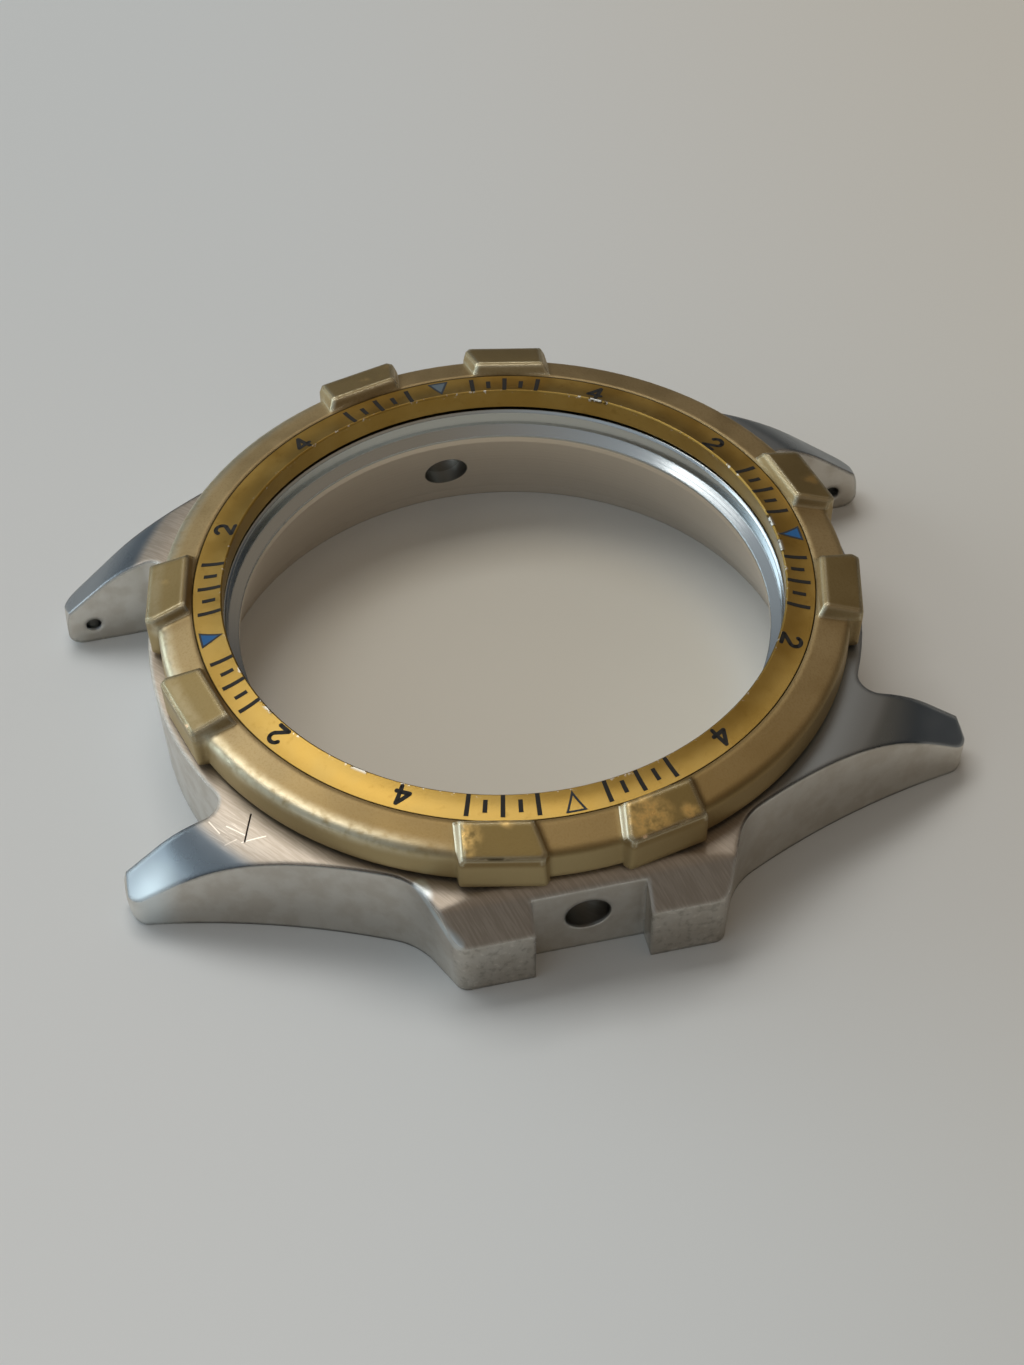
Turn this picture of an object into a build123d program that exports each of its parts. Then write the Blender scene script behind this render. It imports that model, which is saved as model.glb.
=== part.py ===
from build123d import *
from math import radians, sin, tan
import os

os.makedirs("parts", exist_ok=True)

# Empty watch case with a turning bezel. The crown side faces +X, 12 o'clock faces +Y and the
# case stands on its underside at Z = 0, with the case centre at the origin.
# Lengths are in millimetres, angles in degrees.

# Crystal seat, which sets every other radius, and the turret around it
crystal_seat_radius = 15.45
crystal_seat_depth = 1.04
crystal_lead_in = 0.13
crystal_ledge_width = 0.6
crystal_ledge_height = 0.33
turret_wall = 0.8
turret_height = 1.65

# Movement opening, which flares towards the back
dial_land = 0.5
back_seat_margin = 0.35
back_seat_depth = 0.9
back_ledge_width = 0.3

# Insert and what bonds it
insert_gap = 0.17
insert_width = 1.65
insert_side_clearance = 0.04
insert_slope = 0.36
insert_crown = 0.06
insert_edge_break = 0.1
adhesive_thickness = 0.1
adhesive_margin = 0.1

# Bezel ring
bezel_lift = 0.25
bezel_bore_clearance = 0.1
bezel_rim_width = 1.97
bezel_rim_height = 2.51
bezel_rebate_height = 1.48
bezel_crease_height = 1.94
bezel_crease_radius = 0.4
bezel_foot_lean = 0.06
bezel_foot_break = 0.12

# Grip tabs, in parallel pairs at 3, 6, 9 and 12 o'clock
tab_pairs = 4
tab_angle = 13.07
tab_width = 3.77
tab_flare = 0.49
tab_inner_setback = 0.36
tab_inner_rise = 0.59
tab_outer_overhang = 0.55
tab_outer_rise = 0.44
tab_foot_overhang = 0.38
tab_edge_radius = 0.2

# Case middle, seen from above
shoulder_width = 0.67
wall_lean = 0.45
lug_gap = 20.0
lug_length = 3.65
lug_tip_width = 1.75
lug_tip_setback = 0.25
lug_tip_radius = 0.9
lug_notch_radius = 1.05
flank_hollow = 0.7
guard_overhang = 0.55
guard_half_span = 7.2
guard_corner_radius = 0.7
scallop_setback = 3.63
scallop_beyond = 1.54
scallop_radius = 4.0
crown_recess_depth = 0.75
crown_recess_lean = 0.8
crown_recess_width = 6.34

# Case middle, seen from the side
case_height = 6.02
side_draft = 4.5
dome_margin = 1.77
dome_blend = 7.3
dome_slope = 43.0
nose_height = 1.5
nose_arc_setback = 1.6
nose_arc_height = 4.3
nose_arc_radius = 3.25
nose_undercut = 0.9
guard_crease_overhang = 0.35
guard_crease_height = 3.7
guard_crease_radius = 0.45
guard_slope_width = 1.6
guard_brow_radius = 1.2

# Holes for the crown tube and the spring bars
crown_bore_radius = 1.25
crown_bore_height = 3.06
spring_bar_hole_radius = 0.45
spring_bar_hole_depth = 1.2
spring_bar_setback = 1.5
spring_bar_height = 1.3

# Retaining ring and gasket, in the joint between turret and bezel
retainer_width = 0.4
retainer_thickness = 0.4
retainer_height = 1.1
retainer_clearance = 0.05
retainer_gap_angle = 8.0
gasket_width = 0.5
gasket_thickness = 0.5
gasket_clearance = 0.03

# Click balls, their sockets under the bezel and the springs that lift them
click_positions = 24
click_ball_radius = 0.5
click_depth = 0.2
click_clearance = 0.05
click_bore_clearance = 0.03
click_bore_depth = 2.6
click_angles = {"a": 45.0, "b": 225.0}
spring_wire_radius = 0.07
spring_wire_sides = 4
spring_turns = 4
spring_side_clearance = 0.06
spring_end_clearance = 0.02

# How far cutting shapes run past the faces that they cut
overrun = 1.0

# Radii worked out from the sizes above, from the axis outwards
dial_radius = crystal_seat_radius - crystal_ledge_width
turret_radius = crystal_seat_radius + turret_wall
back_seat_radius = turret_radius + back_seat_margin
insert_inner_radius = crystal_seat_radius + insert_gap
insert_outer_radius = insert_inner_radius + insert_width
rebate_radius = insert_outer_radius + insert_side_clearance
bezel_bore = turret_radius + bezel_bore_clearance
bezel_radius = rebate_radius + bezel_rim_width
bezel_foot_radius = bezel_radius - bezel_foot_lean
tab_inner_radius = rebate_radius + tab_inner_setback
tab_outer_radius = bezel_radius + tab_outer_overhang
tab_foot_radius = bezel_foot_radius + tab_foot_overhang
retainer_radius = (turret_radius + bezel_bore) / 2
gasket_room_radius = turret_radius + gasket_width + 2 * gasket_clearance
click_circle = (gasket_room_radius + bezel_foot_radius) / 2
wall_radius_top = bezel_radius + shoulder_width
wall_radius_foot = wall_radius_top - wall_lean
dome_corner_radius = wall_radius_top + dome_margin
guard_reach = wall_radius_top + guard_overhang
guard_crease_reach = guard_reach + guard_crease_overhang
guard_slope_start = guard_crease_reach - guard_slope_width
crown_recess_top = guard_reach - crown_recess_depth
crown_recess_foot = crown_recess_top - crown_recess_lean
scallop_along = guard_reach - scallop_setback
scallop_across = guard_half_span + scallop_beyond
lug_reach = wall_radius_top + lug_length
nose_arc_end = lug_reach - nose_arc_setback
spring_bar_across = lug_reach - spring_bar_setback

# Levels worked out from the sizes above, from the back upwards
shoulder = case_height
bezel_foot = shoulder + bezel_lift
gasket_roof = shoulder + gasket_thickness + 2 * gasket_clearance
retainer_level = shoulder + retainer_height
turret_top = shoulder + turret_height
seat_floor = turret_top - crystal_seat_depth
ledge_foot = seat_floor - crystal_ledge_height
rebate_floor = bezel_foot + bezel_rebate_height
insert_floor = rebate_floor + adhesive_thickness
bezel_crease = bezel_foot + bezel_crease_height
bezel_rim = bezel_foot + bezel_rim_height
tab_inner_top = bezel_rim + tab_inner_rise
tab_outer_top = bezel_crease + tab_outer_rise
ball_level = bezel_foot + click_depth - click_ball_radius
spring_floor = shoulder - click_bore_depth


def revolved(outline):
    """Turns a closed outline, drawn as radius and height, about the case's axis."""
    return revolve(Plane.XZ * outline, Axis.Z)


def nearest(outline, x, y):
    target = Vector(x, y)
    return min(outline.vertices(), key=lambda v: (Vector(v.X, v.Y) - target).length)


def corner(outline, x, y, radius):
    """Rounds the outline's corner nearest to x, y."""
    return fillet(nearest(outline, x, y), radius)


def mirrored(outline):
    """The outline with its reflections in both axes of the sketch."""
    half = outline + mirror(outline, Plane.YZ)
    return half + mirror(half, Plane.XZ)


def case_wing():
    """A quarter of the plan: half a crown guard, the scalloped flank and one lug's outside."""
    inner = lug_gap / 2
    tip = (inner + lug_tip_width, lug_reach - lug_tip_setback)
    scallop = (scallop_along, scallop_across)
    guard = (guard_reach, guard_half_span)
    edges = [
        Polyline((0, 0), (0, lug_reach), (inner, lug_reach), tip),
        SagittaArc(tip, scallop, -flank_hollow),
        Polyline(scallop, guard, (guard_reach, 0), (0, 0)),
    ]
    wing = corner(make_face(edges), *scallop, scallop_radius)
    wing = corner(wing, *guard, guard_corner_radius)
    return corner(wing, *tip, lug_tip_radius)


def dome():
    """The top's flat shoulder and the slope that it falls away to."""
    reach = lug_reach + guard_reach
    drop = (reach - dome_corner_radius) * tan(radians(dome_slope))
    outline = make_face(
        Polyline(
            (0, shoulder - drop),
            (reach, shoulder - drop),
            (dome_corner_radius, shoulder),
            (0, shoulder),
            close=True,
        )
    )
    return revolved(corner(outline, dome_corner_radius, shoulder, dome_blend))


def side_profile():
    """The case seen along the crown axis: the lugs' noses curve down and under."""
    edges = [
        Polyline((0, shoulder), (0, 0), (lug_reach, 0), (lug_reach, nose_height)),
        RadiusArc((lug_reach, nose_height), (nose_arc_end, nose_arc_height), -nose_arc_radius),
        Polyline((nose_arc_end, nose_arc_height), (wall_radius_top, shoulder), (0, shoulder)),
    ]
    half = corner(make_face(edges), lug_reach, 0, nose_undercut)
    half += mirror(half, Plane.YZ)
    return extrude(Plane.YZ * half, guard_reach + lug_reach, both=True)


def front_profile():
    """The case seen along 12 o'clock: the crown guards' tops slope to a crease."""
    outline = make_face(
        Polyline(
            (0, 0),
            (guard_crease_reach, 0),
            (guard_crease_reach, guard_crease_height),
            (guard_slope_start, shoulder),
            (0, shoulder),
            close=True,
        )
    )
    outline = corner(outline, guard_crease_reach, guard_crease_height, guard_crease_radius)
    outline = corner(outline, guard_slope_start, shoulder, guard_brow_radius)
    outline += mirror(outline, Plane.YZ)
    return extrude(Plane.XZ * outline, guard_reach + lug_reach, both=True)


def strap_gap_plan(wall_radius):
    """The space between two lugs from above, with the notches beside the wall rounded."""
    inner = lug_gap / 2
    gap = Pos(0, lug_reach) * Rectangle(lug_gap, 2 * (lug_reach - inner)) - Circle(wall_radius)
    wall = (wall_radius**2 - inner**2) ** 0.5
    for side in (inner, -inner):
        gap = corner(gap, side, wall, lug_notch_radius)
    return gap


def strap_gap():
    """The cut between the lugs at 12 o'clock: straight sides and a drafted wall."""
    foot = strap_gap_plan(wall_radius_foot)
    top = Pos(0, 0, shoulder) * strap_gap_plan(wall_radius_top)
    return loft([foot, top], ruled=True)


def crown_recess():
    """The cut between the crown guards at 3 o'clock, with a flat that leans back."""
    beyond = guard_reach + guard_crease_reach
    outline = make_face(
        Polyline(
            (crown_recess_foot, 0), (beyond, 0), (beyond, shoulder), (crown_recess_top, shoulder),
            close=True,
        )
    )
    return extrude(Plane.XZ * outline, crown_recess_width / 2, both=True)


def turret():
    """The collar that carries the crystal, with the groove for the retaining ring."""
    outline = make_face(
        Polyline((0, 0), (turret_radius, 0), (turret_radius, turret_top), (0, turret_top), close=True)
    )
    return revolved(outline) - revolved(retainer_groove())


def retainer_groove():
    """The room for the retaining ring, half in the turret and half in the bezel."""
    room = Rectangle(
        retainer_width + 2 * retainer_clearance, retainer_thickness + 2 * retainer_clearance
    )
    return Pos(retainer_radius, retainer_level) * room


def case_hollow():
    """What the movement, the crystal and the back take out of the case."""
    mouth = crystal_seat_radius + crystal_lead_in
    outline = make_face(
        Polyline(
            (0, -overrun),
            (back_seat_radius, -overrun),
            (back_seat_radius, back_seat_depth),
            (back_seat_radius - back_ledge_width, back_seat_depth),
            (dial_radius, ledge_foot - dial_land),
            (dial_radius, ledge_foot),
            (crystal_seat_radius, seat_floor),
            (crystal_seat_radius, turret_top - crystal_lead_in),
            (mouth, turret_top),
            (mouth, turret_top + overrun),
            (0, turret_top + overrun),
            close=True,
        )
    )
    return revolved(outline)


def crown_bores():
    """One bore straight through both walls, at 3 and at 9 o'clock."""
    axis = Plane.YZ.offset(-guard_reach - overrun) * Pos(0, crown_bore_height)
    return extrude(axis * Circle(crown_bore_radius), 2 * (guard_reach + overrun))


def spring_bar_holes():
    """A blind hole in the inner face of each lug."""
    reach = lug_gap / 2 + spring_bar_hole_depth
    holes = []
    for across in (spring_bar_across, -spring_bar_across):
        start = Plane.YZ.offset(-reach) * Pos(across, spring_bar_height)
        holes.append(extrude(start * Circle(spring_bar_hole_radius), 2 * reach))
    return holes


def click_bores():
    """A blind bore in the shoulder for each click ball and its spring."""
    bore = click_ball_radius + click_bore_clearance
    depth = click_bore_depth + overrun
    return [
        Rot(0, 0, angle) * Pos(click_circle, 0, spring_floor) * extrude(Circle(bore), depth)
        for angle in click_angles.values()
    ]


def mid_case():
    body = extrude(mirrored(case_wing()), shoulder, taper=-side_draft)
    body = body & dome() & side_profile() & front_profile()
    for cut in (strap_gap(), crown_recess()):
        body -= [cut, Rot(0, 0, 180) * cut]
    body += turret()
    body -= case_hollow()
    body -= crown_bores()
    body -= spring_bar_holes()
    body -= click_bores()
    return body


def bezel_section():
    """Half section of the plain ring, with its rebate, ring groove and gasket recess."""
    outline = make_face(
        Polyline(
            (gasket_room_radius, bezel_foot),
            (bezel_foot_radius, bezel_foot),
            (bezel_radius, bezel_crease),
            (rebate_radius, bezel_rim),
            (rebate_radius, rebate_floor),
            (bezel_bore, rebate_floor),
            (bezel_bore, gasket_roof),
            (gasket_room_radius, gasket_roof),
            close=True,
        )
    )
    outline = corner(outline, bezel_radius, bezel_crease, bezel_crease_radius)
    outline = chamfer(nearest(outline, bezel_foot_radius, bezel_foot), bezel_foot_break)
    return outline - retainer_groove()


def tab_bar():
    """The grip tab's section, run straight across the ring."""
    outline = make_face(
        Polyline(
            (rebate_radius - tab_inner_setback, bezel_foot),
            (rebate_radius - tab_inner_setback, bezel_rim - tab_inner_rise),
            (tab_inner_radius, tab_inner_top),
            (tab_outer_radius, tab_outer_top),
            (tab_foot_radius, bezel_foot),
            close=True,
        )
    )
    return extrude(Plane.XZ * outline, tab_width, both=True)


def tab_blank():
    """A flared bar along +X that cuts one tab out of the tab bar."""
    half = tab_width / 2
    beyond = 2 * tab_outer_radius - bezel_foot_radius
    above = make_face(
        Polyline(
            (half + tab_flare, 0),
            (half + tab_flare, bezel_rim - tab_flare),
            (half, tab_inner_top),
            (-half, tab_inner_top),
            (-half - tab_flare, bezel_rim - tab_flare),
            (-half - tab_flare, 0),
            close=True,
        )
    )
    around = make_face(
        Polyline(
            (0, half + tab_flare),
            (bezel_foot_radius, half + tab_flare),
            (beyond, half - tab_flare),
            (beyond, tab_flare - half),
            (bezel_foot_radius, -half - tab_flare),
            (0, -half - tab_flare),
            close=True,
        )
    )
    return extrude(Plane.YZ * above, beyond) & extrude(around, tab_inner_top)


def grip_tab(side):
    """One tab beside the +X axis: its sides run along that axis, its face looks outwards."""
    turned = Rot(0, 0, side * tab_angle)
    offset = bezel_radius * sin(radians(tab_angle))
    tab = tab_bar() & (turned.inverse() * Pos(0, side * offset) * tab_blank())
    innermost = (rebate_radius + tab_inner_radius) / 2
    edges = [
        edge
        for edge in tab.edges()
        if edge.center().X > innermost and edge.center().Z > bezel_foot + tab_edge_radius
    ]
    return turned * fillet(edges, tab_edge_radius)


def grip_tabs():
    """Eight tabs: the two of a pair are parallel to their o'clock line."""
    pair = [grip_tab(side) for side in (1, -1)]
    turn = 360 / tab_pairs
    return [Rot(0, 0, turn * count) * tab for count in range(tab_pairs) for tab in pair]


def click_sockets():
    """Drilled dimples under the bezel, one for each click, whose rims catch the ball."""
    caught = (click_ball_radius**2 - (click_ball_radius - click_depth) ** 2) ** 0.5
    drill = extrude(Circle(caught + click_clearance), click_depth + click_clearance)
    step = 360 / click_positions
    return [
        Rot(0, 0, step * count) * Pos(click_circle, 0, bezel_foot) * drill
        for count in range(click_positions)
    ]


def bezel_ring():
    ring = revolved(bezel_section())
    ring += grip_tabs()
    ring -= Pos(0, 0, rebate_floor) * extrude(Circle(rebate_radius), tab_inner_top - rebate_floor)
    ring -= click_sockets()
    return ring


def bezel_insert():
    """The flat-bottomed ring whose top falls outwards to the bezel's rim."""
    ridge = (insert_inner_radius, bezel_rim + insert_slope)
    rim = (insert_outer_radius, bezel_rim)
    edges = [
        Polyline(rim, (insert_outer_radius, insert_floor), (insert_inner_radius, insert_floor), ridge),
        SagittaArc(ridge, rim, -insert_crown),
    ]
    outline = make_face(edges)
    return revolved(chamfer(nearest(outline, *ridge), insert_edge_break))


def insert_adhesive():
    blank = Circle(insert_outer_radius - adhesive_margin) - Circle(bezel_bore + adhesive_margin)
    return Pos(0, 0, rebate_floor) * extrude(blank, adhesive_thickness)


def retaining_ring():
    """A split snap ring, half in the turret and half in the bezel."""
    section = Plane.XZ * Pos(retainer_radius, retainer_level) * Rectangle(
        retainer_width, retainer_thickness
    )
    return Rot(0, 0, retainer_gap_angle / 2) * revolve(section, Axis.Z, 360 - retainer_gap_angle)


def bezel_gasket():
    inner = turret_radius + gasket_clearance
    blank = Circle(inner + gasket_width) - Circle(inner)
    return Pos(0, 0, shoulder + gasket_clearance) * extrude(blank, gasket_thickness)


def click_ball(angle):
    return Rot(0, 0, angle) * Pos(click_circle, 0, ball_level) * Sphere(click_ball_radius)


def click_spring(angle):
    """A coil spring between the bore's floor and the underside of the ball."""
    coil = click_ball_radius + click_bore_clearance - spring_side_clearance - spring_wire_radius
    low = spring_floor + spring_end_clearance + spring_wire_radius
    contact = (click_ball_radius**2 - coil**2) ** 0.5
    high = ball_level - contact - spring_end_clearance - 2 * spring_wire_radius
    path = Helix((high - low) / spring_turns, high - low, coil)
    section = RegularPolygon(spring_wire_radius, spring_wire_sides)
    wire = sweep(Plane(path @ 0, z_dir=path % 0) * section, path)
    return Rot(0, 0, angle) * Pos(click_circle, 0, low) * wire


parts = {
    "mid_case": mid_case(),
    "bezel_ring": bezel_ring(),
    "bezel_insert": bezel_insert(),
    "insert_adhesive": insert_adhesive(),
    "retaining_ring": retaining_ring(),
    "bezel_gasket": bezel_gasket(),
}
for letter, angle in click_angles.items():
    parts["click_ball_" + letter] = click_ball(angle)
    parts["click_spring_" + letter] = click_spring(angle)

for name, solid in parts.items():
    export_step(solid, "parts/" + name + ".step")
    print(name, round(solid.volume, 3))
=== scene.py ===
# %% [markdown]
# # An empty watch case on a pale table
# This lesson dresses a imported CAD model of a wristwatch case: a steel case middle, a gold bezel that
# turns on it, and the gold insert that carries the marks. The shapes come from CAD and stay as they
# are. What Blender adds is the finish of each metal, the print on the insert, and the light.
# Blender counts in metres. Sizes in this script are in millimetres, and MM turns them into metres.
# The crown side faces +X, 12 o'clock faces +Y, and the table is at Z = 0.

# %% Load the fixed frame
import math

import bmesh
import bpy
from mathutils import Matrix, Vector
from mathutils.bvhtree import BVHTree


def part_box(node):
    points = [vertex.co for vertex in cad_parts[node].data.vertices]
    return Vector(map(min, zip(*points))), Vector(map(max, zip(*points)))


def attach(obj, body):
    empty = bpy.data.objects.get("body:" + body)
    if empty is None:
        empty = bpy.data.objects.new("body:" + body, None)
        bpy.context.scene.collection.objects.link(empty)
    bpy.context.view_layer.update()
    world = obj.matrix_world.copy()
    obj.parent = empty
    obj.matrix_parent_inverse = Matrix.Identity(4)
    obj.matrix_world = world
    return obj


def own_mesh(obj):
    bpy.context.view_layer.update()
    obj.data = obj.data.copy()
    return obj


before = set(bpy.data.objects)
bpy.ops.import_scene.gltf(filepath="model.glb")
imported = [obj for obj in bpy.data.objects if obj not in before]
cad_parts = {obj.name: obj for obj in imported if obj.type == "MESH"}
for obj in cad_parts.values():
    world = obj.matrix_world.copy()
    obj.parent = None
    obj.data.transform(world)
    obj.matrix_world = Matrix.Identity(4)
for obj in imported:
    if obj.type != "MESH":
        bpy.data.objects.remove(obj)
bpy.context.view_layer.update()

scene = bpy.context.scene
MM = 0.001
print("nodes:", ", ".join(sorted(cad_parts)))

# %% [markdown]
# ## Sizes that the finishes need
# Wear shows where a sleeve rubs: on the bezel's crease, the rims of its tabs and the case's ridges.
# A material can find those places if it knows their radius and height, so they're measured here once,
# from the solids, instead of being typed in for each material. The insert sits in a rebate of the
# bezel, so the bezel's rim is its highest point close to the insert's outer edge.

# %% Measure the rings
def corners(name):
    """Every vertex of a CAD node as (radius, height), in millimetres."""
    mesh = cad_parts[name].data
    return [(math.hypot(v.co.x, v.co.y) / MM, v.co.z / MM) for v in mesh.vertices]


turret_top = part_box("mid_case")[1].z / MM
bezel_low, bezel_high = (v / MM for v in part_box("bezel_ring"))
insert_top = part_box("bezel_insert")[1].z / MM
bezel_points = corners("bezel_ring")
insert_points = corners("bezel_insert")
insert_inner = min(radius for radius, height in insert_points)
insert_outer = max(radius for radius, height in insert_points)
insert_rim = max(height for radius, height in insert_points if radius > insert_outer - 0.02)
bezel_rim = max(height for radius, height in bezel_points if radius < insert_outer + 0.06)
print("insert from", round(insert_inner, 2), "to", round(insert_outer, 2), "mm radius")
print("rims at", round(insert_rim, 2), "and", round(bezel_rim, 2), "mm, turret", round(turret_top, 2))

# %% [markdown]
# ## Helpers for materials
# Colours are easiest to pick as the hex values that an image program shows. Those are sRGB, and
# Blender calculates with linear light, so one function converts them. fill() gives a node's sockets
# a value or another node's output, and add() makes a node, sets its properties and fills it.

# %% Colour and node helpers
def linear(hex_colour):
    """An sRGB hex colour as linear red, green, blue and alpha."""
    channels = [int(hex_colour[i:i + 2], 16) / 255 for i in (1, 3, 5)]
    return [c / 12.92 if c <= 0.04045 else ((c + 0.055) / 1.055) ** 2.4 for c in channels] + [1]


def fill(tree, node, sockets):
    """Fills inputs of a node: another node's output is linked, anything else is set as a value."""
    for key, value in sockets.items():
        if isinstance(value, bpy.types.NodeSocket):
            tree.links.new(value, node.inputs[key])
        else:
            node.inputs[key].default_value = value


def add(tree, kind, sockets=None, out=0, **settings):
    """Adds one node and returns its output: settings are its properties, sockets its inputs."""
    made = tree.nodes.new("ShaderNode" + kind)
    for key, value in settings.items():
        setattr(made, key, value)
    fill(tree, made, sockets or {})
    return made.outputs[out]


def new_material(name):
    """An empty material with a Principled shader: returns material, node tree and shader node."""
    material = bpy.data.materials.new(name)
    material.use_nodes = True
    tree = material.node_tree
    return material, tree, tree.nodes["Principled BSDF"]


# %% [markdown]
# ## Places and shares
# Object coordinates are metres in the CAD frame, so a mask can say "within 0.3 mm of the crease".
# Marks could also be painted on an unwrapped mesh, but a picture blurs close up and has to be painted
# again when a size changes. place() gives a surface point's position, its radius from the watch's
# axis, and how far the surface faces aside and up. A mask is a share from 0 to 1: ramp() makes one
# from any of those numbers, and the functions after it do arithmetic with shares.

# %% Places and shares
def place(tree):
    """A surface point in millimetres: its vector, x, y, z and radius, and its normal's y and z."""
    where = add(tree, "TexCoord", out="Object")
    scaled = add(tree, "VectorMath", {0: where, 3: 1 / MM}, operation="SCALE")
    x, y, z = (add(tree, "SeparateXYZ", {0: scaled}, out=axis) for axis in range(3))
    radius = add(tree, "VectorMath", {0: add(tree, "CombineXYZ", {0: x, 1: y})}, out="Value",
                 operation="LENGTH")
    facing = add(tree, "TexCoord", out="Normal")
    aside, up = (add(tree, "SeparateXYZ", {0: facing}, out=axis) for axis in (1, 2))
    return {"mm": scaled, "x": x, "y": y, "z": z, "r": radius, "aside": aside, "up": up}


def ramp(tree, value, start, end):
    """0 where value is at start, 1 where it is at end, with a soft change between them."""
    return add(tree, "MapRange", {0: value, 1: start, 2: end}, interpolation_type="SMOOTHSTEP")


def reduce_to_one(tree, operation, values):
    """Joins values one after the other by the same operation."""
    result = values[0]
    for value in values[1:]:
        result = add(tree, "Math", {0: result, 1: value}, operation=operation)
    return result


def times(tree, *values):
    """The product: 1 only where every share is 1."""
    return reduce_to_one(tree, "MULTIPLY", values)


def either(tree, *values):
    """The largest: 1 where any share is 1."""
    return reduce_to_one(tree, "MAXIMUM", values)


def total(tree, *values):
    """The sum, for heights."""
    return reduce_to_one(tree, "ADD", values)


# %% [markdown]
# ## Patterns, spots and lines
# Real metal is never even. Noise gives blobs, or brushed lines when it is stretched. Marks that the
# photograph shows at one place are drawn there: near() follows a circle round the watch, around()
# makes a soft spot seen from above, and scratch() draws a straight line.

# %% Patterns
def speckle(tree, point, size, detail=3, roughness=0.55):
    """Noise whose blobs are about size millimetres across."""
    return add(tree, "TexNoise", {"Vector": point["mm"], "Scale": 1 / size, "Detail": detail,
                                  "Roughness": roughness})


def streaks(tree, point, angle, length, width):
    """Brushed lines of that length and width in millimetres, at an angle from the +X axis."""
    turned = add(tree, "VectorRotate", {"Vector": point["mm"], "Angle": math.radians(-angle)},
                 rotation_type="Z_AXIS")
    drawn = add(tree, "VectorMath", {0: turned, 1: (1 / length, 1 / width, 1 / length)},
                operation="MULTIPLY")
    return add(tree, "TexNoise", {"Vector": drawn, "Scale": 1, "Detail": 3, "Roughness": 0.6})


# %% Spots and lines
def near(tree, point, radius, height, reach):
    """1 on the circle of that radius and height, fading to 0 at reach from it."""
    section = add(tree, "CombineXYZ", {0: point["r"], 1: point["z"]})
    gap = add(tree, "VectorMath", {0: section, 1: (radius, height, 0)}, out="Value",
              operation="DISTANCE")
    return ramp(tree, gap, reach, 0)


def around(tree, point, x, y, reach):
    """1 at that place seen from above, fading to 0 at reach from it."""
    flat = add(tree, "CombineXYZ", {0: point["x"], 1: point["y"]})
    gap = add(tree, "VectorMath", {0: flat, 1: (x, y, 0)}, out="Value", operation="DISTANCE")
    return ramp(tree, gap, reach, 0)


def scratch(tree, point, start, end, width):
    """1 along a straight line between two places, seen from above if they have no height."""
    where = point["mm"]
    if len(start) == 2:
        where = add(tree, "CombineXYZ", {0: point["x"], 1: point["y"]})
        start, end = (*start, 0), (*end, 0)
    run = Vector(end) - Vector(start)
    offset = add(tree, "VectorMath", {0: where, 1: start}, operation="SUBTRACT")
    along = add(tree, "VectorMath", {0: offset, 1: run / run.length_squared}, out="Value",
                operation="DOT_PRODUCT")
    kept = add(tree, "Clamp", {0: along})
    foot = add(tree, "VectorMath", {0: run, 3: kept}, operation="SCALE")
    gap = add(tree, "VectorMath", {0: offset, 1: foot}, out="Value", operation="DISTANCE")
    return ramp(tree, gap, width / 2, width / 5)


# %% [markdown]
# ## Soft edges
# No real edge is perfectly sharp, and the thin highlight on it tells the eye that it is metal. A
# bevel cut into the mesh would change the CAD shape. The Bevel node bends the shading normal near an
# edge as if it were rounded, and leaves the mesh alone. Where the bent normal differs from the true
# one there is an edge, which gives a mask for wear.

# %% Find the edges
bevel_samples = 6


def edges(tree, normal, start=0.995, end=0.93):
    """1 on the edges that a rounded normal bends, 0 on the flats."""
    true_normal = add(tree, "NewGeometry", out="Normal")
    bend = add(tree, "VectorMath", {0: normal, 1: true_normal}, out="Value", operation="DOT_PRODUCT")
    return ramp(tree, bend, start, end)


# %% [markdown]
# ## Coats
# A finish is a ground with coats over it, such as grain, stains, worn edges and marks. Each coat has a
# share that says where it covers. One function lays coats of colour, the other coats of a number such
# as roughness.

# %% Lay coats over a ground
def colours(tree, ground, *coats):
    """Lays coats of (share, colour) over a ground colour. A colour is a hex value or an output."""
    result = linear(ground) if isinstance(ground, str) else ground
    for share, coat in coats:
        coat = linear(coat) if isinstance(coat, str) else coat
        result = add(tree, "Mix", {0: share, 6: result, 7: coat}, out=2, data_type="RGBA")
    return result


def numbers(tree, ground, *coats):
    """Lays coats of (share, number) over a ground number in the same way."""
    result = ground
    for share, coat in coats:
        result = add(tree, "Mix", {0: share, 2: result, 3: coat})
    return result


# %% [markdown]
# ## The camera
# The photograph was taken from above the crown side, about 23 cm away. The camera's place and
# direction were solved from the insert's circles, so the render lines up with the photograph. The
# focal length is worked out from the picture's height in pixels.

# %% Camera
picture_height = 1365
focal_pixels = 4022
camera_place = Vector((152.95, -32.15, 167.88)) * MM
looking = Vector((-0.66868519, 0.14193662, -0.72987267))
upwards = Vector((-0.7079723, 0.17844961, 0.68332347))

camera_data = bpy.data.cameras.new("photo_camera")
camera_data.sensor_width = 36
camera_data.lens = focal_pixels * camera_data.sensor_width / picture_height
camera_data.clip_start = 10 * MM
camera = bpy.data.objects.new("photo_camera", camera_data)
scene.collection.objects.link(camera)
rightwards = looking.cross(upwards)
camera_turn = Matrix((rightwards, upwards, -looking)).transposed()
camera.matrix_world = Matrix.Translation(camera_place) @ camera_turn.to_4x4()
scene.camera = camera
print("lens", round(camera_data.lens, 1), "mm at", round(camera_place.length / MM), "mm")

# %% [markdown]
# ## The bezel: blasted gold plate
# The ring is steel, blasted with fine beads and plated a pale champagne gold. Blasting gives the eye
# a dull sheen with a very fine grain. The ring's face slopes outwards to a crease and drops there to
# an outer wall, and eight tabs stand up from the face. The tabs could have a material of their own,
# but they are one piece with the ring, so masks tell them apart: height above the sloping face tells
# a tab from the ring, and the way the surface faces tells a tab's top from its flanks.

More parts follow.
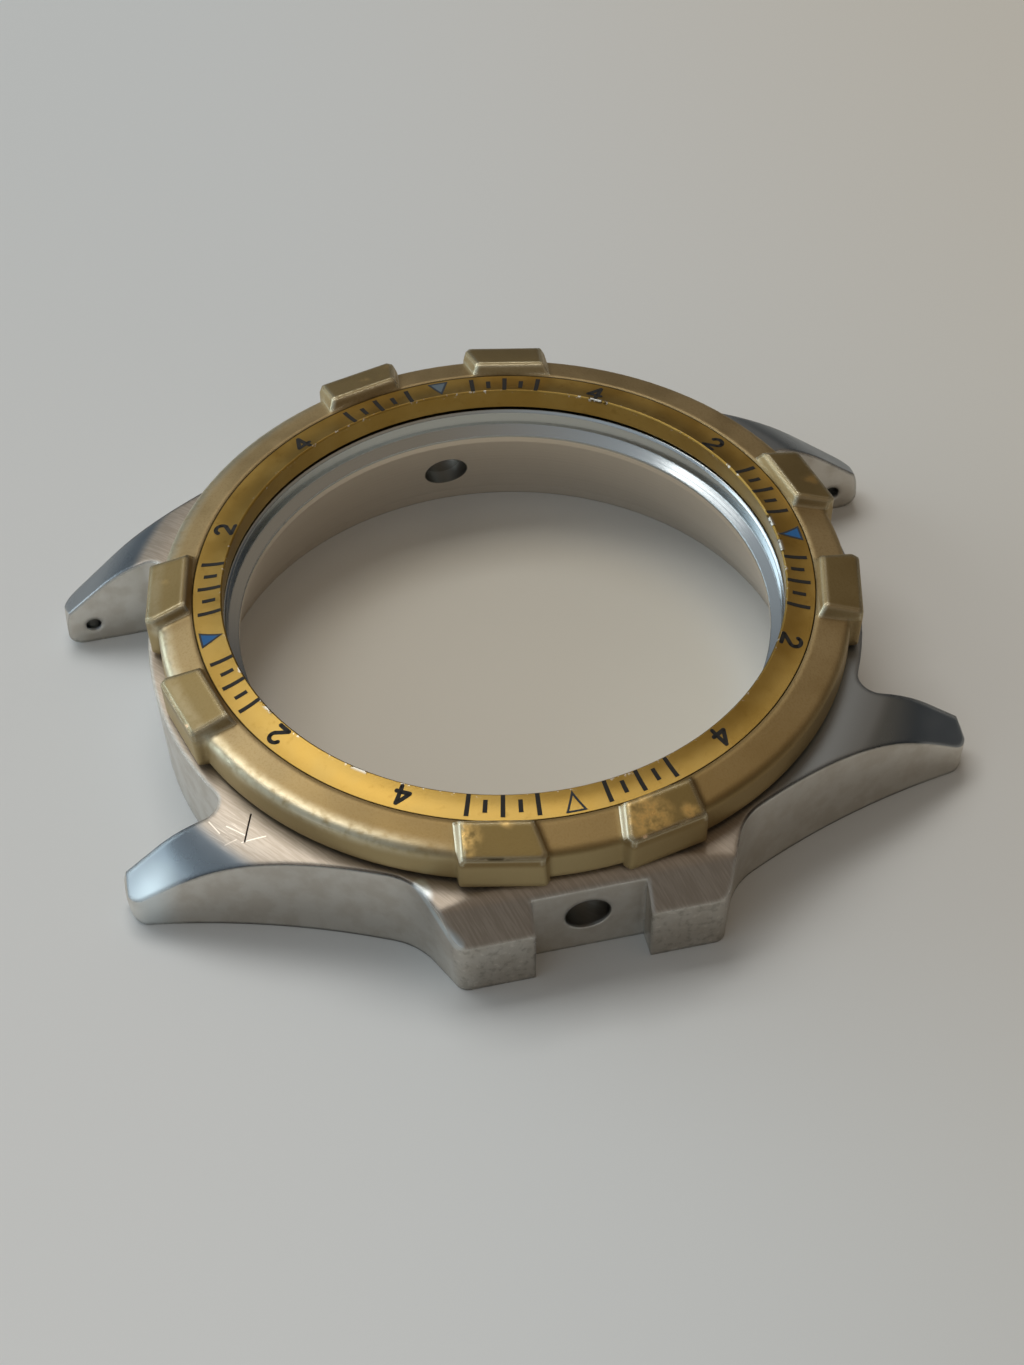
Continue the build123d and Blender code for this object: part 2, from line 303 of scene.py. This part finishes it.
# %% Parts of the bezel
face_slope = 0.29  # the face falls by this for each millimetre outwards
crease_radius = bezel_high.x - 0.6
crease_height = bezel_low.z + 1.94


def bezel_parts(tree, point):
    """The height above the ring's face, and masks for tab tops, outer wall and the near tab flanks
    that get a painted highlight.
    """
    fall = times(tree, point["r"], face_slope)
    lift = total(tree, point["z"], fall, -bezel_rim - face_slope * insert_outer)
    tab_top = times(tree, ramp(tree, lift, 0.25, 0.4), ramp(tree, point["up"], 0.8, 0.95))
    outer_wall = ramp(tree, point["z"], crease_height, crease_height - 0.44)
    # Near tab flanks that face the window, painted bright: painted highlight.
    painted_flank_highlight = times(tree, ramp(tree, point["aside"], -0.5, -0.8), ramp(tree, point["up"], 0.2, 0.3),
                  ramp(tree, point["x"], 12, 15))
    return lift, tab_top, outer_wall, painted_flank_highlight


print("crease at", round(crease_radius, 2), "mm radius and", round(crease_height, 2), "mm height")

# %% [markdown]
# Wear takes the grain off first, so the edges of the tabs are smoother and paler. The crease on the
# near left is smoother as well, and its pale colour is a painted highlight. Fingers rub a few spots on
# the tabs smoother, and their bright colour is a painted highlight. Knocks leave dark lines along the
# tabs' outer rims, and small painted highlights lie along the rims too.

# %% Wear of the bezel
tab_rim_height = bezel_low.z + 2.4
tab_rim_radius = max(radius for radius, height in bezel_points if height > tab_rim_height - 0.1) - 0.1
# Each place is x, y and reach in millimetres.
rubbed_places = ((18.5, 3.5, 1.9), (17.6, -6.2, 1.2), (-13.1, 13.3, 0.9))
knock_place = (19.2, -4.8, 1.5)


def bezel_wear(tree, point, lift, tab_top, normal):
    """Masks for pale worn edges with the painted crease highlight, rubbed spots with painted glints,
    dark knocks and painted highlights along the rims.
    """
    worn = times(tree, edges(tree, normal), ramp(tree, lift, 0, 0.15))
    # A band round the crease, paler only on the near left: painted highlight.
    crease_highlight_band = near(tree, point, crease_radius, crease_height, 0.9)
    broken = ramp(tree, speckle(tree, point, 0.7), 0.1, 0.6)
    pale = either(tree, worn, times(tree, crease_highlight_band, broken, ramp(tree, point["y"], -5, -12), 0.8))
    rubbed = ramp(tree, speckle(tree, point, 2.2, detail=1), 0.62, 0.8)
    spots = [around(tree, point, x, y, reach) for x, y, reach in rubbed_places]
    # Rubbed spots on the tab tops: smoother from wear, their bright colour a painted highlight.
    rubbed_painted_glints = times(tree, tab_top, either(tree, rubbed, *spots),
                   ramp(tree, speckle(tree, point, 0.5, detail=2), 0.25, 0.7))
    ragged = speckle(tree, point, 1.1, detail=5)
    tab_rim = near(tree, point, tab_rim_radius, tab_rim_height, 0.17)
    knocked = either(tree, around(tree, point, *knock_place), 0.25)
    knocks = times(tree, tab_rim, knocked, ramp(tree, ragged, 0.38, 0.46))
    # Small bright marks along the tab rims: painted highlights.
    painted_rim_highlights = times(tree, tab_rim, ramp(tree, ragged, 0.38, 0.33))
    return pale, rubbed_painted_glints, knocks, painted_rim_highlights


print("tab rims at", round(tab_rim_radius, 2), "mm radius and", round(tab_rim_height, 2), "mm height")

# %% [markdown]
# The colours go from the plate itself, through the broad differences between the front, the tab tops
# and the outer wall, to the small marks. The darker front is painted shade, and the paler outer wall
# on the left is a painted highlight. The grain is 0.12 mm, coarser than real blasting, so that it
# shows at this size.

# %% Bezel finish
def blasted_gold_plate():
    material, tree, shader = new_material("blasted_champagne_gold_plate")
    point = place(tree)
    normal = add(tree, "Bevel", {"Radius": 0.45 * MM}, samples=bevel_samples)
    lift, tab_top, outer_wall, painted_flank_highlight = bezel_parts(tree, point)
    pale, rubbed_painted_glints, knocks, painted_rim_highlights = bezel_wear(tree, point, lift, tab_top, normal)
    grain = speckle(tree, point, 0.12, detail=2)
    patches = ramp(tree, speckle(tree, point, 4), 0.35, 0.65)
    # Darker towards the front: painted shade.
    painted_front_shade = ramp(tree, point["x"], 7, 16)
    # Paler outer wall on the left, towards the window: painted highlight.
    painted_light_side = ramp(tree, point["y"], 10, -4)
    colour = colours(
        tree, "#A8936B",
        (patches, "#B49F77"),
        (times(tree, ramp(tree, grain, 0.45, 0.7), 0.3), "#93794D"),
        (times(tree, painted_front_shade, 0.62), "#8F7545"),
        (times(tree, tab_top, 0.6), "#7A6A40"),
        (times(tree, outer_wall, painted_light_side, 0.5), "#D6C394"),
        (times(tree, pale, 0.75), "#F1ECD2"),
        (painted_flank_highlight, "#FBF3DA"),
        (rubbed_painted_glints, "#F8D084"),
        (knocks, "#33260F"),
        (painted_rim_highlights, "#FFDDB4"))
    rough = numbers(tree, 0.48, (patches, 0.55), (either(tree, pale, rubbed_painted_glints), 0.22))
    height = total(tree, grain, times(tree, knocks, -3))
    bump = add(tree, "Bump", {"Strength": 0.5, "Distance": 0.012 * MM, "Height": height,
                              "Normal": normal})
    fill(tree, shader, {"Base Color": colour, "Metallic": 1, "Roughness": rough, "Normal": bump})
    return material


gold_plate = blasted_gold_plate()
print(gold_plate.name, "has", len(gold_plate.node_tree.nodes), "nodes")

# %% [markdown]
# ## The insert: satin gold anodised aluminium
# The insert is a thin aluminium ring, blasted and then anodised a stronger yellow than the bezel. That
# gives a soft golden sheen with a grain almost too fine to see, so it is drawn at 0.1 mm, coarser than
# the real one. The inner edge is chipped, and bare aluminium shows there as small silver flecks with
# dirt round them: five stand where the photograph shows them, and smaller ones are scattered. They
# could be cut out of the mesh, but they are so shallow that colour alone shows them. A dark line
# along the outer edge is the joint with the bezel.

# %% Insert finish
chip_places = ((11.62, -10.52), (-13.3, 8.8), (-1.1, 15.9), (0.9, 15.75), (6.06, -14.5))


def satin_gold_anodised():
    material, tree, shader = new_material("satin_gold_anodised_aluminium")
    point = place(tree)
    patches = ramp(tree, speckle(tree, point, 3), 0.35, 0.65)
    stains = ramp(tree, speckle(tree, point, 0.7, detail=6), 0.58, 0.75)
    inner_edge = near(tree, point, insert_inner, insert_top, 0.3)
    joint = ramp(tree, point["r"], insert_outer - 0.07, insert_outer - 0.02)
    jagged = speckle(tree, point, 0.3, detail=4)
    bites = [times(tree, around(tree, point, x, y, 1.3), 1.6, jagged) for x, y in chip_places]
    scattered = ramp(tree, speckle(tree, point, 0.3, detail=5), 0.62, 0.66)
    chips = either(tree, scattered, *(ramp(tree, bite, 0.6, 0.66) for bite in bites))
    dirt = either(tree, *(ramp(tree, bite, 0.45, 0.5) for bite in bites))
    colour = colours(
        tree, "#A38544",
        (patches, "#AE9150"),
        (times(tree, stains, 0.3), "#7A5A22"),
        (times(tree, inner_edge, dirt), "#4A3A1C"),
        (times(tree, inner_edge, chips), "#E4E4DE"),
        (times(tree, joint, 0.85), "#2E2412"))
    normal = add(tree, "Bevel", {"Radius": 0.06 * MM}, samples=bevel_samples)
    bump = add(tree, "Bump", {"Strength": 0.45, "Distance": 0.01 * MM,
                              "Height": speckle(tree, point, 0.1, detail=2), "Normal": normal})
    fill(tree, shader, {"Base Color": colour, "Metallic": 1, "Normal": bump,
                        "Roughness": numbers(tree, 0.36, (patches, 0.42))})
    return material


gold_anodised = satin_gold_anodised()
print(gold_anodised.name, "has", len(gold_anodised.node_tree.nodes), "nodes")

# %% [markdown]
# ## The case middle: one steel, several finishes
# The case is one piece of stainless steel, but its surfaces were finished in different ways: a satin
# top, polished slopes on the lugs, hazy sides, pitted guard fronts, a turned inner wall, and a bright
# ledge for the crystal. It could be split into an object for each finish, but the real one is one
# piece, so one material holds them all. Masks by height, radius and the way a surface faces say which
# is where.

# %% Areas of the case
inner_radius = 17.0  # the wall and the ledge are inside it, the rest is outside
ledge_foot = turret_top - 1.37
satin_radius = 21.4  # the satin top of the lugs ends here
guard_end = 9.5  # half the width of the guards, which are satin too
guard_face = 20.3  # how far the guards' fronts stand out
bore_height, bore_radius = 3.06, 1.25


def steel_areas(tree, point):
    """Masks for the inside and the outside of the case and for the areas of each."""
    inside = add(tree, "Math", {0: point["r"], 1: inner_radius}, operation="LESS_THAN")
    outside = add(tree, "Math", {0: 1.0, 1: inside}, operation="SUBTRACT")
    from_middle = add(tree, "Math", {0: point["y"]}, operation="ABSOLUTE")
    near_bezel = either(tree, ramp(tree, point["r"], satin_radius + 0.8, satin_radius),
                        ramp(tree, from_middle, guard_end + 1.5, guard_end))
    side = times(tree, outside, ramp(tree, point["up"], 0.5, 0.25))
    section = add(tree, "CombineXYZ", {0: point["y"], 1: point["z"]})
    bore_gap = add(tree, "VectorMath", {0: section, 1: (0, bore_height, 0)}, out="Value",
                   operation="DISTANCE")
    return {
        "inside": inside,
        "outside": outside,
        "wall": times(tree, inside, ramp(tree, point["z"], ledge_foot - 0.05, ledge_foot - 0.2)),
        "ledge": times(tree, inside, ramp(tree, point["z"], ledge_foot - 0.15, ledge_foot)),
        "top": times(tree, outside, near_bezel, ramp(tree, point["up"], 0.3, 0.5)),
        "side": side,
        "guard_front": times(tree, side, ramp(tree, point["x"], guard_face - 0.5, guard_face)),
        # Inside of the crown bore: painted shade.
        "bore": ramp(tree, bore_gap, bore_radius + 0.05, bore_radius + 0.01),
        "from_middle": from_middle}


print("the ledge starts at", round(ledge_foot, 2), "mm height")

# %% [markdown]
# The polished ridges of the lugs reflect a dark room, so they are drawn as dark lines that end before
# the lugs' tips: a painted reflection. A painted highlight lies on the left guard and another on the
# near left tip. The fine pale scratches and the single dark one at the root of that lug are the
# photographed ones.

# %% Marks on the steel
# A line is start, end and width in millimetres, a spot is x, y and reach.
# Painted highlights: a line on the left guard and a spot on the near left tip.
painted_guard_glint = ((17.7, -8.7, 6), (20.5, -7.4, 4), 1.1)
painted_tip_glint = (12.1, -22.4, 1.9)
hatched_place = (11.3, -17.7, 1.9)
pale_scratches = (((10.27, -18.69), (11.17, -18.28)), ((10.92, -17.84), (11.85, -16.98)),
                  ((12.19, -17.24), (12.28, -15.95)), ((11.96, -18.13), (11.91, -17.5)))
pale_width = 0.1
dark_scratch = ((10.63, -16.43), (12.21, -17.09), 0.12)


def steel_marks(tree, point, area, patches, normal):
    """Masks for worn edges, painted reflections on the polished ridges, painted highlights, pale
    scratches and the dark scratch.
    """
    from_axis = add(tree, "Math", {0: point["x"]}, operation="ABSOLUTE")
    # Polished ridges of the lugs painted dark: painted reflection.
    painted_ridge_reflections = times(tree, edges(tree, normal, 0.97, 0.88), area["outside"],
                   ramp(tree, area["from_middle"], 7.5, 9.5), ramp(tree, from_axis, 10.4, 11.5))
    # Bright marks on the left guard and the near left tip: painted highlights.
    painted_glint = either(tree, scratch(tree, point, *painted_guard_glint),
                   times(tree, around(tree, point, *painted_tip_glint), 0.8))
    hatching = ramp(tree, streaks(tree, point, 38, 1.1, 0.07), 0.52, 0.66)
    uneven = ramp(tree, patches, -0.6, 0.6)
    hatched = times(tree, around(tree, point, *hatched_place), 0.6, hatching)
    drawn = [times(tree, scratch(tree, point, start, end, pale_width), uneven)
             for start, end in pale_scratches]
    return {
        "worn": times(tree, edges(tree, normal), area["outside"]),
        "painted_ridge_reflections": painted_ridge_reflections,
        "painted_glint": painted_glint,
        "pale": times(tree, either(tree, hatched, *drawn), area["top"]),
        "dark": scratch(tree, point, *dark_scratch)}


print("drawn", len(pale_scratches), "pale scratches and a dark one")

# %% [markdown]
# The lugs' slopes are the ground, since they are what stays when the other areas are laid over. The
# right side of the case stands away from the window, so the steel there gets painted shade: a greyer
# tint on the satin top and a darker one on the back right lug. The paler tips of the lugs are a
# painted highlight. The brushed lines are 0.09 mm wide, the turned ones lie 9 to the millimetre, and
# the grain
# on the sides is 0.12 mm: all coarser than real ones, so that they show at this size.

# %% Case finish
turned_lines = 9


def finished_steel():
    material, tree, shader = new_material("satin_and_polished_stainless_steel")
    point = place(tree)
    area = steel_areas(tree, point)
    edge_radius = numbers(tree, 0.42 * MM, (area["inside"], 0.1 * MM))
    normal = add(tree, "Bevel", {"Radius": edge_radius}, samples=bevel_samples)
    patches = ramp(tree, speckle(tree, point, 3.5), 0.35, 0.65)
    clouds = ramp(tree, speckle(tree, point, 1.4, detail=5), 0.38, 0.66)
    pits = speckle(tree, point, 0.42, detail=4)
    brushed = streaks(tree, point, 35, 1.6, 0.09)
    turned = add(tree, "TexNoise", {"Vector": add(tree, "CombineXYZ", {0: point["z"], 1: point["r"]}),
                                    "Scale": turned_lines, "Detail": 3})
    mark = steel_marks(tree, point, area, patches, normal)
    # The lugs' tips are painted paler: painted highlight.
    painted_bright_tip = ramp(tree, point["r"], 23.4, 24.6)
    # Darker on the back right lug: painted shade.
    painted_shade_back_right = times(tree, ramp(tree, point["y"], 10, 18), ramp(tree, point["x"], 0, -6))
    pitted = times(tree, area["guard_front"], ramp(tree, pits, 0.5, 0.68))

    # The satin top turns greyer on the right: painted shade.
    satin = colours(tree, "#B4A89A", (ramp(tree, brushed, 0.4, 0.65), "#C3B8AB"),
                    (ramp(tree, point["y"], 7, 13), "#9CA1A5"))
    colour = colours(
        tree, "#858D94",
        (painted_bright_tip, "#979DA2"),
        (times(tree, painted_shade_back_right, 0.6), "#6A7075"),
        (area["top"], satin),
        (area["side"], colours(tree, "#D8D3CA", (clouds, "#CDC6BB"))),
        (area["wall"], colours(tree, "#DDD4C8", (turned, "#EBE3D7"))),
        (area["ledge"], "#C4CBCF"),
        (times(tree, mark["worn"], 0.3), "#D6D4D0"),
        (times(tree, mark["painted_ridge_reflections"], ramp(tree, painted_bright_tip, 1, 0.3)), "#2E3338"),
        (times(tree, mark["painted_glint"], area["outside"], 0.8), "#F0F9FC"),
        (mark["pale"], "#F3E9DC"),
        (times(tree, mark["dark"], area["top"]), "#1E1612"),
        (times(tree, area["guard_front"], 0.45), "#B0A89C"),
        (times(tree, pitted, 0.35), "#7A7266"),
        (times(tree, area["guard_front"], ramp(tree, pits, 0.42, 0.3), 0.4), "#E9E2D8"),
        # The crown bore darkened: painted shade.
        (times(tree, area["bore"], 0.7), "#565A59"))
    rough = numbers(
        tree, 0.27,
        (patches, 0.33),
        (area["top"], 0.47),
        (area["side"], numbers(tree, 0.3, (clouds, 0.38))),
        (area["wall"], 0.42),
        (area["ledge"], 0.17),
        (times(tree, mark["worn"], 0.5), 0.2),
        (mark["painted_ridge_reflections"], 0.13),
        (mark["painted_glint"], 0.35))
    height = total(
        tree,
        times(tree, brushed, area["top"], 0.55),
        times(tree, turned, area["inside"], 0.55),
        times(tree, speckle(tree, point, 0.12, detail=2), 0.4, area["side"]),
        times(tree, pitted, -1.6),
        times(tree, mark["dark"], -4))
    bump = add(tree, "Bump", {"Strength": 0.5, "Distance": 0.01 * MM, "Height": height,
                              "Normal": normal})
    fill(tree, shader, {"Base Color": colour, "Metallic": 1, "Roughness": rough, "Normal": bump})
    return material


steel = finished_steel()
print(steel.name, "has", len(steel.node_tree.nodes), "nodes")

# %% [markdown]
# ## The hidden pieces
# The adhesive, retaining ring, gasket, click balls and springs sit out of sight under the bezel, but
# they show when the model is taken apart. Each is a plain finish of its real stuff.

# %% Hidden finishes
def plain_finish(name, dark, pale, metallic, roughness, grain_size):
    """A finish of two close colours in small blobs, with a fine bump."""
    material, tree, shader = new_material(name)
    blobs = speckle(tree, place(tree), grain_size)
    bump = add(tree, "Bump", {"Strength": 0.15, "Distance": 0.01 * MM, "Height": blobs})
    fill(tree, shader, {"Base Color": colours(tree, dark, (blobs, pale)), "Metallic": metallic,
                        "Roughness": roughness, "Normal": bump})
    return material


spring_steel = plain_finish("drawn_spring_steel", "#8E8F92", "#B4B5B8", 1, 0.3, 0.1)
bearing_steel = plain_finish("ground_bearing_steel", "#B9BABC", "#C6C7C9", 1, 0.08, 0.5)
adhesive = plain_finish("acrylic_adhesive_film", "#55503F", "#6B6550", 0, 0.5, 0.3)
rubber = plain_finish("moulded_nitrile_rubber", "#141414", "#202020", 0, 0.55, 0.2)
print("hidden:", spring_steel.name, bearing_steel.name, adhesive.name, rubber.name)

# %% Put the finishes on the solids
finishes = {
    "mid_case": steel,
    "bezel_ring": gold_plate,
    "bezel_insert": gold_anodised,
    "insert_adhesive": adhesive,
    "bezel_gasket": rubber,
    "retaining_ring": spring_steel,
    "click_spring_a": spring_steel,
    "click_spring_b": spring_steel,
    "click_ball_a": bearing_steel,
    "click_ball_b": bearing_steel,
}
for name, material in finishes.items():
    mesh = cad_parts[name].data
    mesh.materials.clear()
    mesh.materials.append(material)
print("finished", len(finishes), "solids")

# %% [markdown]
# ## Springs that shorten
# Each click ball stands on a coil spring in a blind bore. The bezel presses the ball down a quarter of
# a millimetre and the spring gets shorter by as much. A coil could be drawn anew for each length, but
# over so short a stroke it looks the same when it is squashed towards its foot. Here each spring only
# gets a mesh of its own, and the squashing is not done.

# %% Give the click springs their own meshes
for letter in "ab":
    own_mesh(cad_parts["click_spring_" + letter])

# %% [markdown]
# ## The print on the insert
# The marks are printed in matt enamel: a triangle at each quarter, the hours 2 and 4 on the way, and
# plain ticks beside the triangles. A picture of them would blur close up, so each mark is a thin
# shape: drawn flat, cut into small faces, wrapped round the insert and laid on its surface by a ray
# shot down from above, so that it follows the ring's slope.

# %% Wrap flat shapes round the insert
print_height = 0.012
mark_radius = 16.35
ray_start = 50 * MM
insert_tree = BVHTree.FromObject(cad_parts["bezel_insert"], bpy.context.evaluated_depsgraph_get())


def surface_height(x, y):
    """The insert's height in metres under a point, from a ray shot down."""
    hit = insert_tree.ray_cast(Vector((x, y, ray_start)), Vector((0, 0, -1)))[0]
    return hit.z if hit else insert_rim * MM


def wrap(mesh, angle, radius):
    """Bends a flat mesh in millimetres round the insert, its top pointing outwards at that angle."""
    for vertex in mesh.verts:
        reach = radius + vertex.co.y
        bearing = math.radians(angle) - vertex.co.x / radius
        x, y = reach * math.cos(bearing) * MM, reach * math.sin(bearing) * MM
        vertex.co = (x, y, surface_height(x, y) + print_height * MM)


def fine(mesh, longest=0.22):
    """Cuts a flat mesh until no edge is longer than that, in millimetres."""
    bmesh.ops.triangulate(mesh, faces=mesh.faces)
    for _ in range(5):
        long_edges = [e for e in mesh.edges if e.calc_length() > longest]
        if not long_edges:
            break
        bmesh.ops.subdivide_edges(mesh, edges=long_edges, cuts=1)
        bmesh.ops.triangulate(mesh, faces=mesh.faces)


print("marks stand", print_height, "mm over the insert")

# %% [markdown]
# Ticks and triangles are outlines that get filled. A numeral is a line that a round pen follows, which
# gives even strokes with round ends, as printed marks have.

# %% Flat shapes
def outline(points, holes=()):
    """A flat mesh filled inside the points and outside the holes."""
    mesh = bmesh.new()
    rims = []
    for loop in (points, *holes):
        made = [mesh.verts.new((x, y, 0)) for x, y in loop]
        rims += [mesh.edges.new((made[i - 1], made[i])) for i in range(len(made))]
    bmesh.ops.triangle_fill(mesh, edges=rims, use_beauty=True, use_dissolve=False)
    return mesh


def triangle(width, height):
    """A triangle with its base outwards and its point towards the dial."""
    return [(-width / 2, height / 2), (0, -height / 2), (width / 2, height / 2)]


def bar(width, height):
    return [(-width / 2, -height / 2), (width / 2, -height / 2), (width / 2, height / 2),
            (-width / 2, height / 2)]


def pen(path, width):
    """A flat mesh that follows a path with a round pen of that width, in millimetres."""
    mesh = bmesh.new()
    angles = [step * math.pi / 6 for step in range(12)]
    for x, y in path:
        ring = [(x + width / 2 * math.cos(angle), y + width / 2 * math.sin(angle)) for angle in angles]
        mesh.faces.new([mesh.verts.new((*corner, 0)) for corner in ring])
    for start, end in zip(map(Vector, path), map(Vector, path[1:])):
        run = end - start
        across = Vector((-run.y, run.x)).normalized() * width / 2
        stroke = (start + across, start - across, end - across, end + across)
        mesh.faces.new([mesh.verts.new((*corner, 0)) for corner in stroke])
    return mesh


# %% Gather marks into one object
def printed(name, shapes, material):
    """One object from flat shapes: each is (flat mesh, angle, radius)."""
    whole = bpy.data.meshes.new(name)
    gathered = bmesh.new()
    for shape, angle, radius in shapes:
        fine(shape)
        wrap(shape, angle, radius)
        piece = bpy.data.meshes.new(name)
        shape.to_mesh(piece)
        gathered.from_mesh(piece)
        bpy.data.meshes.remove(piece)
        shape.free()
    bmesh.ops.recalc_face_normals(gathered, faces=gathered.faces)
    for face in gathered.faces:
        if face.normal.z < 0:
            face.normal_flip()
    gathered.to_mesh(whole)
    gathered.free()
    whole.materials.append(material)
    made = bpy.data.objects.new(name, whole)
    scene.collection.objects.link(made)
    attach(made, "bezel")
    print(name, "has", len(shapes), "marks")


# %% Print the numerals
black_enamel = plain_finish("printed_black_enamel", "#14120F", "#1E1B16", 0, 0.7, 0.2)
numeral_height = 1.25
stroke_width = 0.19 * numeral_height
bow = [(0.26 * math.cos(math.radians(turn)), 0.16 + 0.26 * math.sin(math.radians(turn)))
       for turn in range(165, -60, -25)]
two = bow + [(-0.28, -0.41), (0.29, -0.41)]
four = [(0.14, -0.42), (0.14, 0.42), (-0.3, -0.16), (0.31, -0.16)]
numerals = []
for shares, angle in ((four, 32.2), (four, 148), (two, 60.7), (two, 119.6)):
    path = [(x * numeral_height, y * numeral_height) for x, y in shares]
    for side in (1, -1):
        numerals.append((pen(path, stroke_width), side * angle, mark_radius + 0.03))
printed("insert_numerals", numerals, black_enamel)

# %% Print the ticks
quarters = (0, 90, 180, 270)
tick_width, long_tick, short_tick = 0.25, 1.3, 0.75
tick_step = 3.3
first_tick = 2
ticks = []
for quarter in quarters:
    for side in (1, -1):
        for count in range(5):
            length = short_tick if count % 2 else long_tick
            angle = quarter + side * tick_step * (first_tick + count)
            ticks.append((outline(bar(tick_width, length)), angle, mark_radius))
printed("insert_ticks", ticks, black_enamel)

# %% [markdown]
# Each triangle is a slate frame. At 12 and 6 o'clock the frame is filled with blue, at 9 o'clock with
# grey, and at 3 o'clock the gold shows through.

# %% Print the triangles
slate_enamel = plain_finish("printed_slate_enamel", "#2B3138", "#353C44", 0, 0.7, 0.2)
blue_enamel = plain_finish("printed_blue_enamel", "#175C98", "#1F66A2", 0, 0.7, 0.2)
grey_enamel = plain_finish("printed_grey_enamel", "#55636C", "#616F78", 0, 0.7, 0.2)
triangle_radius = mark_radius + 0.1
whole_triangle = triangle(1.15, 1.3)
opening_share, opening_shift = 0.68, 0.09
opening = [(x * opening_share, y * opening_share + opening_shift) for x, y in whole_triangle]
frames = [(outline(whole_triangle, [opening]), quarter, triangle_radius) for quarter in quarters]
blue_fills = [(outline(opening), quarter, triangle_radius) for quarter in (90, 270)]
grey_fills = [(outline(opening), 180, triangle_radius)]
printed("insert_triangle_frames", frames, slate_enamel)
printed("insert_blue_fills", blue_fills, blue_enamel)
printed("insert_grey_fill", grey_fills, grey_enamel)

# %% [markdown]
# ## The table
# The case lies on a pale lacquered table. The room's light is cool on the left and warm on the right
# and inside the case, and the lacquer's tint is painted to follow it: painted warm light towards the
# right, and painted shade with warm bounced light inside the case. The table stands a hair under the
# case, so that the two flat faces don't lie in one plane.

# %% Table
table_half = 1500 * MM
table_gap = 0.02 * MM


def lacquered_table():
    material, tree, shader = new_material("pale_lacquered_table")
    point = place(tree)
    drift = ramp(tree, speckle(tree, point, 90, detail=1), 0.3, 0.7)
    colour = colours(
        tree, "#E0E5E8",
        (drift, "#E4E7E9"),
        # Warmer towards the right: painted light.
        (ramp(tree, point["y"], -10, 60), "#E0DCD3"),
        # Warmer and a little darker inside the case: painted shade and bounced light.
        (ramp(tree, point["r"], 17, 11), "#DFDBD0"))
    fill(tree, shader, {"Base Color": colour, "Roughness": 0.35})
    return material


table_mesh = bpy.data.meshes.new("table")
table_corners = [(x * table_half, y * table_half, 0) for x, y in ((-1, -1), (1, -1), (1, 1), (-1, 1))]
table_mesh.from_pydata(table_corners, [], [(0, 1, 2, 3)])
table_mesh.materials.append(lacquered_table())
table = bpy.data.objects.new("table", table_mesh)
table.location.z = -table_gap
scene.collection.objects.link(table)
print("table", 2 * table_half, "m across")

# %% [markdown]
# ## Light
# Metal shows what it reflects, so the light matters as much as the finish. A picture of a whole room
# could light the case, but two large soft lamps can be moved one at a time until the highlights lie
# right: a warm white one over the far side, which draws those on the gold, and a cooler one low on
# the left, which stands for a window and brightens the left lugs.

# %% Lamps
def soft_lamp(name, place_mm, width, length, along, radiance, colour):
    """A panel that looks at the case: width and length in metres, its length along a direction."""
    data = bpy.data.lights.new(name, "AREA")
    data.shape = "RECTANGLE"
    data.size = width
    data.size_y = length
    data.energy = radiance * math.pi * width * length
    data.color = linear(colour)[:3]
    lamp = bpy.data.objects.new(name, data)
    back = Vector(place_mm).normalized()
    across = Vector(along).cross(back).normalized()
    facing = Matrix((across, back.cross(across), back)).transposed()
    lamp.matrix_world = Matrix.Translation(Vector(place_mm) * MM) @ facing.to_4x4()
    scene.collection.objects.link(lamp)
    print(name, "at", round(Vector(place_mm).length), "mm,", round(data.energy, 2), "W")


soft_lamp("ceiling", (-276, -110, 623), 0.26, 0.52, (0, 1, 0), 3.7, "#FFFDF8")
soft_lamp("window", (-325, -563, 205), 0.22, 0.62, (0.87, -0.5, 0), 2.4, "#E2F2F8")

# %% [markdown]
# The rest of the room is a world colour: grey-blue towards the window on the left, dim and brown on
# the right, and darker near the horizon, which gives the polished steel its dark parts.

# %% Room
world = bpy.data.worlds.new("room")
scene.world = world
world.use_nodes = True
room = world.node_tree
sideways, upward = (add(room, "SeparateXYZ", {0: add(room, "TexCoord")}, out=axis) for axis in (1, 2))
window_side = ramp(room, sideways, 0.3, -0.9)
horizon = colours(room, "#3E4247", (window_side, "#98A0A6"))
above = colours(room, "#887B6B", (window_side, "#A7AFB5"))
sky = colours(room, horizon, (ramp(room, upward, 0.15, 0.6), above))
fill(room, room.nodes["Background"], {"Color": sky})
print("room", len(room.nodes), "nodes")

# %% [markdown]
# ## Finish
# The view transform is Standard, so a colour renders as it is written.

# %% View transform
scene.view_settings.view_transform = "Standard"
